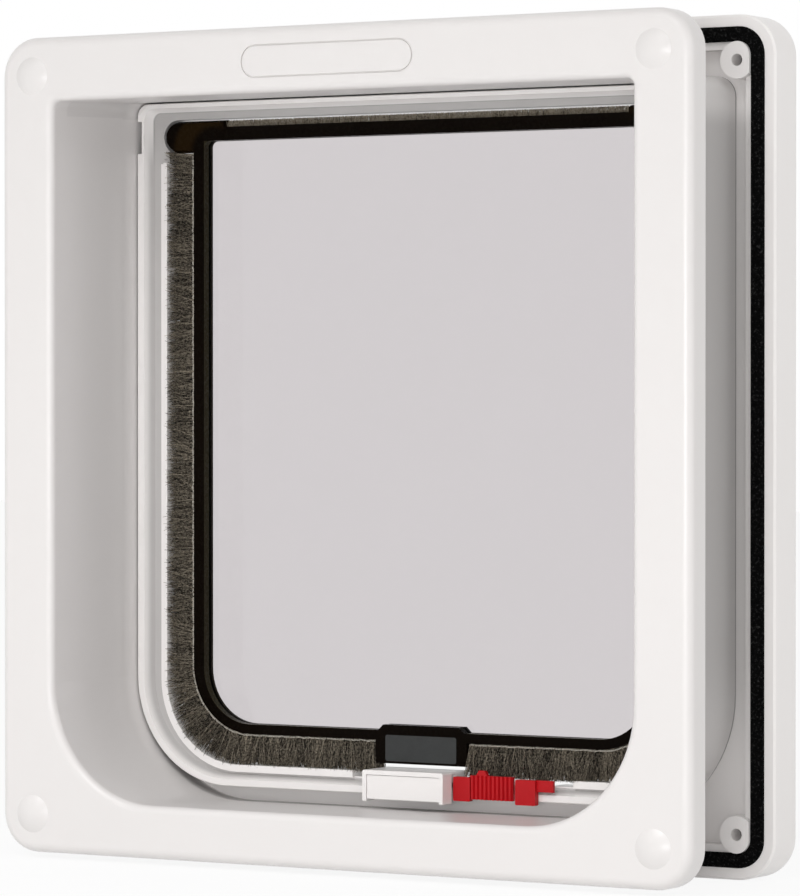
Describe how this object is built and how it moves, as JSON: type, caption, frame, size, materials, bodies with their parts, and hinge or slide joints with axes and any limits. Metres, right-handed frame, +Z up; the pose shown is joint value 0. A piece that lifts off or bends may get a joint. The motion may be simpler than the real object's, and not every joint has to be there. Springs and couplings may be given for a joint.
{
  "type": "cat flap",
  "caption": "Self-lining cat flap: two rounded frames joined by a tunnel, a clear swing flap with brush seal, a magnet catch and red lock slides.",
  "frame": {"origin": "centre of the four screw bosses of the outdoor frame, on the plane of their faces, which is the outer face of the door", "axes": "+X across the door to the right seen from the room, +Y through the door to the outdoors, +Z up"},
  "size_m": [0.24, 0.0706, 0.253],
  "materials": {
    "white_plastic": "smooth semi-gloss moulded white plastic",
    "smoked_plastic": "smoked brown-black moulded plastic",
    "clear_plastic": "clear moulded plastic sheet",
    "brush_pile": "dense grey-brown brush pile",
    "red_plastic": "red moulded plastic",
    "magnet": "dark grey ferrite",
    "foam": "black open-cell foam",
    "steel": "plain bright steel pin"
  },
  "bodies": {
    "outer_frame": {"outer_frame": "white_plastic", "foam_gasket": "foam", "hinge_pin_left": "steel", "hinge_pin_right": "steel", "magnet_housing": "white_plastic", "magnet_housing_plate": "white_plastic", "frame_magnet": "magnet"},
    "inner_frame": {"inner_frame": "white_plastic", "screw_cap_top_left": "white_plastic", "screw_cap_top_right": "white_plastic", "screw_cap_bottom_left": "white_plastic", "screw_cap_bottom_right": "white_plastic"},
    "flap": {"flap_rim": "smoked_plastic", "flap_pane": "clear_plastic", "flap_magnet": "magnet", "brush_top": "brush_pile", "brush_left": "brush_pile", "brush_right": "brush_pile"},
    "inward_lock": {"inward_lock_slide": "red_plastic"},
    "outward_lock": {"outward_lock_slide": "red_plastic"}
  },
  "joints": [
    {"name": "flap_hinge", "type": "hinge", "parent": "outer_frame", "child": "flap", "pos_m": [0, 0.0033, 0.09631], "axis": [1, 0, 0], "range_deg": [-80, 80]},
    {"name": "liner_slide", "type": "slide", "parent": "outer_frame", "child": "inner_frame", "axis": [0, -1, 0], "range_m": [0, 0.008]},
    {"name": "inward_lock_travel", "type": "slide", "parent": "outer_frame", "child": "inward_lock", "axis": [-1, 0, 0], "range_m": [0, 0.003]},
    {"name": "outward_lock_travel", "type": "slide", "parent": "outer_frame", "child": "outward_lock", "axis": [1, 0, 0], "range_m": [0, 0.0045]}
  ]
}
